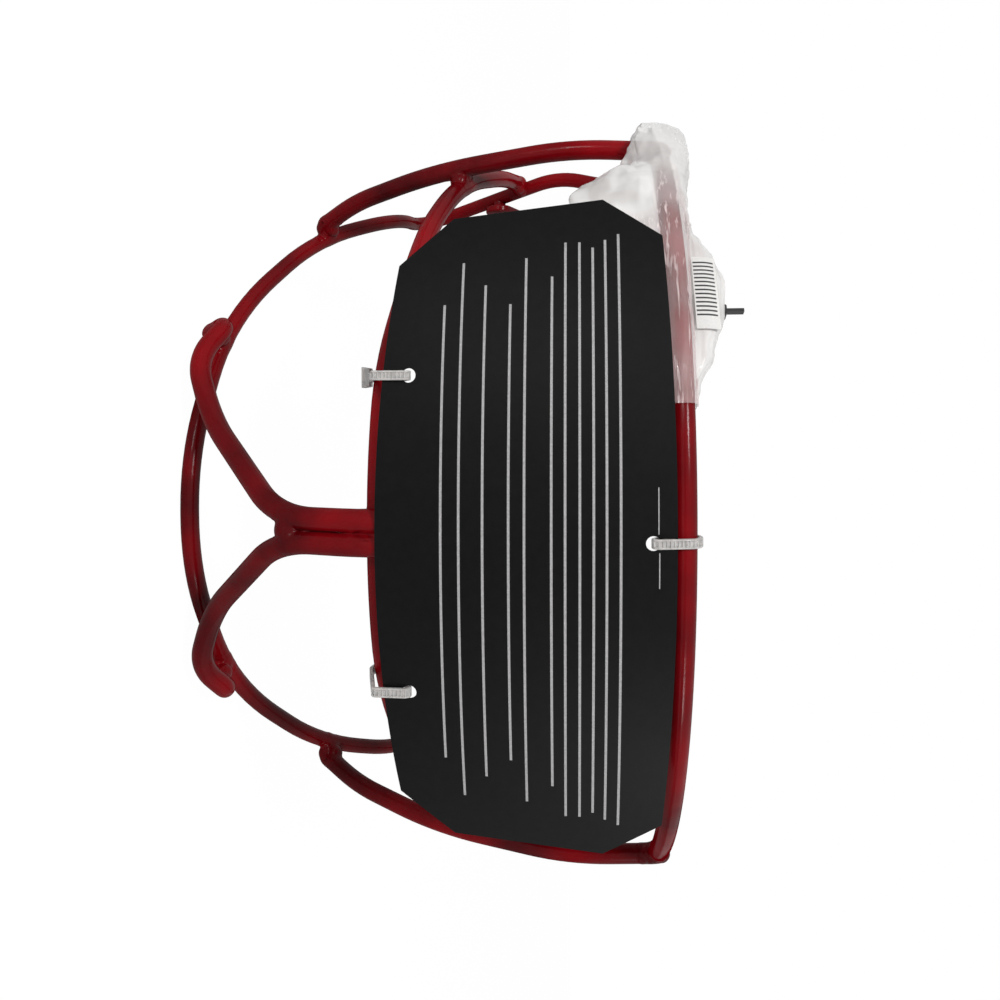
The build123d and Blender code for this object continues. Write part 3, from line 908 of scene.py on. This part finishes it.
film_work = bmesh.new()
film_rings = []
for station in range(FILM_STATIONS + 1):
    angle = FILM_START + (FILM_END - FILM_START) * station / FILM_STATIONS
    along = radians(angle) * BROW_RADIUS
    close = max(0.0, (angle - CLOSE_FROM) / (FILM_END - CLOSE_FROM))
    squeeze = sqrt(max(0.0, 1.0 - close ** CLOSE_SHARPNESS))
    outline = closed_curve(film_outline(angle), FILM_POINTS)
    middle = sum(outline, Vector((0.0, 0.0))) / len(outline)
    ring = []
    for number, point in enumerate(outline):
        point = middle + (point - middle) * max(squeeze, LEAST_SIZE)
        tangent = outline[(number + 1) % FILM_POINTS] - outline[number - 1]
        inward = Vector((-tangent.y, tangent.x))
        inward = inward.normalized() if inward.length > 1e-6 else Vector((0.0, 0.0))
        point = point + inward * film_depth(angle, along, point) * squeeze * (1.0 - 0.6 * close)
        ring.append(film_work.verts.new(on_bar(angle, point.x, point.y) * MM))
    film_rings.append(ring)
join_rings(film_work, film_rings)
film_work.faces.new(film_rings[-1])
print("film skin faces:", len(film_work.faces))

# %% [markdown]
# The bag's mouth is drawn together behind the pouch, so it makes a short pleated neck that is
# narrow in its tie and opens again behind it. It is a tube of rings, whose size follows the
# place along the neck, with eleven pleats.

# %% Gathered neck
NECK_ANGLE, NECK_RISE, NECK_RADIUS = 27.5, 8.4, 2.0
NECK_ROOT, NECK_END = -6.0, -13.4
NECK_STEPS, NECK_POINTS = 28, 88
ROOT_FLARE, ROOT_SHARE = 2.0, 0.36
END_FLARE, END_SHARE = 1.1, 0.76
NECK_PLEATS = 11
PLEAT_DEPTH, PLEAT_TWIST = 0.10, 1.5

beside = Vector((-cos(radians(NECK_ANGLE)), sin(radians(NECK_ANGLE)), 0.0))
neck_rings = []
for step in range(NECK_STEPS + 1):
    share = step / NECK_STEPS
    spread = (ROOT_FLARE * max(0.0, 1.0 - share / ROOT_SHARE) ** 1.5
              + END_FLARE * max(0.0, (share - END_SHARE) / (1.0 - END_SHARE)))
    centre = on_bar(NECK_ANGLE, NECK_ROOT + (NECK_END - NECK_ROOT) * share, NECK_RISE)
    ring = []
    for number in range(NECK_POINTS):
        turn = 2 * pi * number / NECK_POINTS
        pleat = 1.0 + PLEAT_DEPTH * sin(NECK_PLEATS * turn + PLEAT_TWIST * share)
        reach = (NECK_RADIUS + spread) * pleat
        place = centre + beside * reach * cos(turn) + Vector((0, 0, reach * sin(turn)))
        ring.append(film_work.verts.new(place * MM))
    neck_rings.append(ring)
join_rings(film_work, neck_rings)
film_work.faces.new(neck_rings[0])
film_work.faces.new(neck_rings[-1])
print("pleats:", NECK_PLEATS)

# %% [markdown]
# Clear film is seen by its gloss and its edges, and many layers of it look milky. The shader
# reads a value for the layers: many of them are pale and let little through; one of them is
# painted rosy for the red wire seen through it, and lets more through. A noise makes it thinner
# in some places, stretched lines are drawn along the bar, and ridges in the relief are the small
# crumples.

# %% Film finish
STREAK_STRETCH = 14.0
STREAK_TURN = -23.0
STREAK_FROM, STREAK_TO = 0.56, 0.70
STREAK_COVER = 0.5


def film_streaks(tree):
    """Fine lines along the bar, from 0 between them to a half on them."""
    lengthwise = add_node(tree, "Mapping", {"vector_type": "TEXTURE"}, Vector=place_of(tree),
                          Rotation=(0.0, 0.0, radians(STREAK_TURN)),
                          Scale=(STREAK_STRETCH, 1.0, 1.0))
    lines = noise_of(tree, 900.0, 2.0, 0.6, lengthwise.outputs["Vector"])
    streaks = add_node(tree, "MapRange", None, Value=lines, i1=STREAK_FROM, i2=STREAK_TO,
                       i3=0.0, i4=STREAK_COVER)
    return streaks.outputs["Result"]


def clear_film():
    """Film that lets less through where more layers lie over each other."""
    material, tree, shader = new_material("clear_film")
    layered = add_node(tree, "Attribute", {"attribute_name": "layers"}).outputs["Fac"]
    cloud = noise_of(tree, 60.0, 3.0, 0.5)
    milky = ramp_of(tree, cloud, [(0.30, (0.74, 0.735, 0.725)), (0.70, (0.88, 0.875, 0.865))])
    # Painted see-through colour: the single layer's rosy tint stands in for the red wire showing
    # through the film
    painted_rosy_see_through = ramp_of(tree, cloud, [(0.30, (0.80, 0.63, 0.63)), (0.70, (0.90, 0.76, 0.76))])
    tint = add_node(tree, "Mix", {"data_type": "RGBA"}, i0=layered, i6=painted_rosy_see_through, i7=milky)
    tree.links.new(tint.outputs[2], shader.inputs["Base Color"])
    thin = add_node(tree, "Math", {"operation": "ADD", "use_clamp": True},
                    i0=range_of(tree, cloud, 0.12, 0.36), i1=film_streaks(tree))
    cover = add_node(tree, "Mix", {"data_type": "FLOAT"}, i0=layered, i2=thin.outputs[0],
                     i3=range_of(tree, cloud, 0.52, 0.86))
    tree.links.new(cover.outputs[0], shader.inputs["Alpha"])
    crumples = add_node(tree, "TexNoise", {"noise_type": "RIDGED_MULTIFRACTAL"},
                        Vector=place_of(tree), Scale=70.0, Detail=3.0)
    tree.links.new(bump_of(tree, crumples.outputs["Fac"], 0.5 * MM, 0.25), shader.inputs["Normal"])
    tree.links.new(range_of(tree, cloud, 0.10, 0.20), shader.inputs["Roughness"])
    shader.inputs["Specular IOR Level"].default_value = 0.6
    shader.inputs["Coat Weight"].default_value = 0.5
    shader.inputs["Coat Roughness"].default_value = 0.05
    return material


film = piece_from(film_work, "crinkled_film_bag", clear_film(), smooth_angle=50)
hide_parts("film_bag")
print("film made:", film.name)

# %% [markdown]
# The value for the layers is kept at each point of the mesh, where the shader finds it by its
# name. The sleeve lies once over the bar. The pouch, the flap and the hood are folded, and
# they take over towards the bar's end along a border that a noise makes uneven.

# %% Layers of the film
FOLDED_FROM = 29.0
FOLDED_FADE = 10.0
BAR_DELAY = 8.0
BORDER_WAVER, BORDER_WAVES = 3.0, 120.0
BAR_HALF, BAR_FADE = 5.0, 2.0
BEHIND_FROM, BEHIND_FADE = -1.0, 1.5


def layers_at(place):
    """Many layers at 1, the sleeve's single one at 0."""
    x, y, z = place / MM
    ahead = sqrt(x * x + (BROW_RADIUS - y) ** 2) - BROW_RADIUS
    angle = degrees(atan2(-x, BROW_RADIUS - y))
    angle += BORDER_WAVER * noise.noise(place * BORDER_WAVES)
    over_bar = clamp(ahead / BAR_FADE) * clamp((BAR_HALF - abs(z)) / BAR_FADE)
    folded = (angle - FOLDED_FROM - BAR_DELAY * over_bar) / FOLDED_FADE
    behind = 1.0 - clamp((ahead - BEHIND_FROM) / BEHIND_FADE)
    return clamp(max(folded, behind))


layers = film.data.attributes.new("layers", "FLOAT", "POINT")
for vert in film.data.vertices:
    layers.data[vert.index].value = layers_at(vert.co)
print("points with a layer value:", len(layers.data))

# %% [markdown]
# The label is paper, stuck to the pouch's front, so it bends as the pouch does: flat below,
# leaning back above, and lifted a little at its two ends. It is a thin patch of squares, and
# the same tool makes whatever lies on it.

# %% Tools for the label
LABEL_ANGLES = (22.4, 32.0)
LABEL_SINK = 0.35
LABEL_CURL = 0.15
LEAN_FROM, LEAN_OVER, LEAN_BACK = 6.4, 4.2, 0.9


def label_point(share, height, proud):
    """A point on the label: its share along it, its height and how far it stands out."""
    angle = LABEL_ANGLES[0] + (LABEL_ANGLES[1] - LABEL_ANGLES[0]) * share
    lean = LEAN_BACK * (max(height - LEAN_FROM, 0.0) / LEAN_OVER) ** 2
    curl = LABEL_CURL * (2 * share - 1) ** 4
    return on_bar(angle, -LABEL_SINK - lean + curl + proud, height) * MM


def label_patch(work, shares, heights, proud, thick, columns, rows):
    """A thin patch that follows the label's face, closed all round."""
    grid = {}
    for side in (0, 1):
        for i in range(columns + 1):
            for j in range(rows + 1):
                share = shares[0] + (shares[1] - shares[0]) * i / columns
                height = heights[0] + (heights[1] - heights[0]) * j / rows
                grid[side, i, j] = work.verts.new(label_point(share, height, proud + thick * side))
    for i in range(columns):
        for j in range(rows):
            for side in (0, 1):
                places = ((i, j), (i + 1, j), (i + 1, j + 1), (i, j + 1))
                corners = [grid[side, a, b] for a, b in places]
                work.faces.new(corners if side else corners[::-1])
    rim = [(i, 0) for i in range(columns)] + [(columns, j) for j in range(rows)]
    rim += [(i, rows) for i in range(columns, 0, -1)] + [(0, j) for j in range(rows, 0, -1)]
    for here, there in zip(rim, rim[1:] + rim[:1]):
        work.faces.new((grid[0, *here], grid[0, *there], grid[1, *there], grid[1, *here]))


print("label tools ready")

# %% [markdown]
# The paper has a fine fibre that shows in its colour, its gloss and its relief. Plain even
# stripes of black ink cross it.

# %% Label
LABEL_LOW, LABEL_HIGH = 4.4, 10.6
LABEL_PROUD = 0.15
PAPER_THICK = 0.12
STRIPES = 14
STRIPES_START, STRIPES_SPAN = 0.17, 0.79
STRIPE_SHARE = 0.022
STRIPE_FOOT, STRIPE_HEAD = 0.3, 0.6
STRIPE_SUNK, STRIPE_THICK = 0.01, 0.03

papers = [(0.3, (0.62, 0.62, 0.61)), (0.7, (0.72, 0.72, 0.71))]
paper, tree, shader, fibre = grained("label_paper", (2400.0, 5.0, 0.7), papers, (0.5, 0.7))
tree.links.new(bump_of(tree, fibre, 0.03 * MM, 0.4), shader.inputs["Normal"])
label_work = bmesh.new()
label_patch(label_work, (0.0, 1.0), (LABEL_LOW, LABEL_HIGH), LABEL_PROUD, PAPER_THICK, 32, 10)
label = piece_from(label_work, "paper_label", paper, smooth_angle=40)
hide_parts("bag_label")

blacks = [(0.3, (0.012, 0.012, 0.012)), (0.7, (0.03, 0.03, 0.03))]
black_ink = grained("black_ink", (3000.0, 2.0), blacks, (0.4, 0.6))[0]
stripe_heights = (LABEL_LOW + STRIPE_FOOT, LABEL_HIGH - STRIPE_HEAD)
stripe_proud = LABEL_PROUD + PAPER_THICK - STRIPE_SUNK
stripe_work = bmesh.new()
for stripe in range(STRIPES):
    start = STRIPES_START + STRIPES_SPAN * stripe / STRIPES
    label_patch(stripe_work, (start, start + STRIPE_SHARE), stripe_heights, stripe_proud,
                STRIPE_THICK, 1, 8)
stripes = piece_from(stripe_work, "label_stripes", black_ink)
print("label stripes:", STRIPES)

# %% [markdown]
# A black tie closes the bag's neck. Its CAD form is right already, so it only gets its nylon.

# %% Bag tie
dress(["bag_tie"], black_nylon)

# %% [markdown]
# The studio is bright, and white wherever the camera looks. A light path tells the world's
# shader which ray asks: what is seen directly, through the film or in a gloss is white, and
# the light that falls on the guard comes from a dimmer, even room.

# %% World
ROOM_COLOUR = (0.80, 0.80, 0.82, 1.0)
ROOM_STRENGTH = 0.26
WHITE = (1.0, 1.0, 1.0, 1.0)

world = bpy.data.worlds.new("studio")
scene.world = world
world.use_nodes = True
tree = world.node_tree
tree.nodes.clear()
path = add_node(tree, "LightPath")
seen = path.outputs["Is Camera Ray"]
for ray in ("Is Transmission Ray", "Is Glossy Ray"):
    seen = add_node(tree, "Math", {"operation": "MAXIMUM"}, i0=seen, i1=path.outputs[ray])
    seen = seen.outputs[0]
room = add_node(tree, "Background", None, Color=ROOM_COLOUR, Strength=ROOM_STRENGTH)
white = add_node(tree, "Background", None, Color=WHITE, Strength=1.0)
mixed = add_node(tree, "MixShader", None, i0=seen, i1=room.outputs[0], i2=white.outputs[0])
world_output = add_node(tree, "OutputWorld")
tree.links.new(mixed.outputs[0], world_output.inputs["Surface"])
print("room strength:", ROOM_STRENGTH)

# %% [markdown]
# Three lamps give the wires their streaks: one overhead, a window at the side, and a weak
# one low in front. They are small plates of light, so the streaks are narrow and the shadows
# are still soft. All of them face the middle of the guard.

# %% Lamps
LAMP_AIM = Vector((0.0, 0.06, -0.05))

# Columns: name, place, width, height, watts, colour
lamps = (("ceiling lamp", (-0.30, -0.60, 0.50), 0.18, 0.12, 4.8, (1.0, 0.985, 0.97)),
         ("window", (0.72, -0.50, 0.20), 0.26, 0.14, 2.4, (1.0, 0.98, 0.96)),
         ("low lamp", (-0.40, -0.60, -0.09), 0.12, 0.06, 0.9, (1.0, 0.985, 0.97)))

for name, place, width, height, watts, colour in lamps:
    data = bpy.data.lights.new(name, "AREA")
    data.shape = "RECTANGLE"
    data.size = width
    data.size_y = height
    data.energy = watts
    data.color = colour
    lamp = bpy.data.objects.new(name, data)
    scene.collection.objects.link(lamp)
    lamp.location = place
    lamp.rotation_euler = (LAMP_AIM - Vector(place)).to_track_quat("-Z", "Y").to_euler()
print("lamps:", len(lamps))

# %% [markdown]
# The floor is a plain pale plate just under the guard. To the camera it glows almost white, so
# that it passes into the background without a border, and the small rest of its own surface
# keeps the soft shadow.

# %% Floor
FLOOR_SIZE = 60.0
FLOOR_GAP = 0.4 * MM
FLOOR_GLOW = 1.03
GLOW_SHARE = 0.95

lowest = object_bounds()[0].z
bpy.ops.mesh.primitive_plane_add(size=FLOOR_SIZE, location=(0.0, 0.0, lowest - FLOOR_GAP))
ground = bpy.context.object
ground.name = "floor"
material, tree, shader = new_material("pale_floor")
shader.inputs["Base Color"].default_value = (0.90, 0.90, 0.90, 1.0)
shader.inputs["Roughness"].default_value = 0.9
seen = add_node(tree, "LightPath").outputs["Is Camera Ray"]
glow = add_node(tree, "Emission", None, Color=WHITE, Strength=FLOOR_GLOW)
share = add_node(tree, "Math", {"operation": "MULTIPLY"}, i0=seen, i1=GLOW_SHARE)
floor_mix = add_node(tree, "MixShader", None, i0=share.outputs[0], i1=shader.outputs[0],
                     i2=glow.outputs[0])
tree.links.new(floor_mix.outputs[0], tree.nodes["Material Output"].inputs["Surface"])
ground.data.materials.append(material)
print("floor at", round((lowest - FLOOR_GAP) / MM, 1), "mm, with the brow bar at 0")
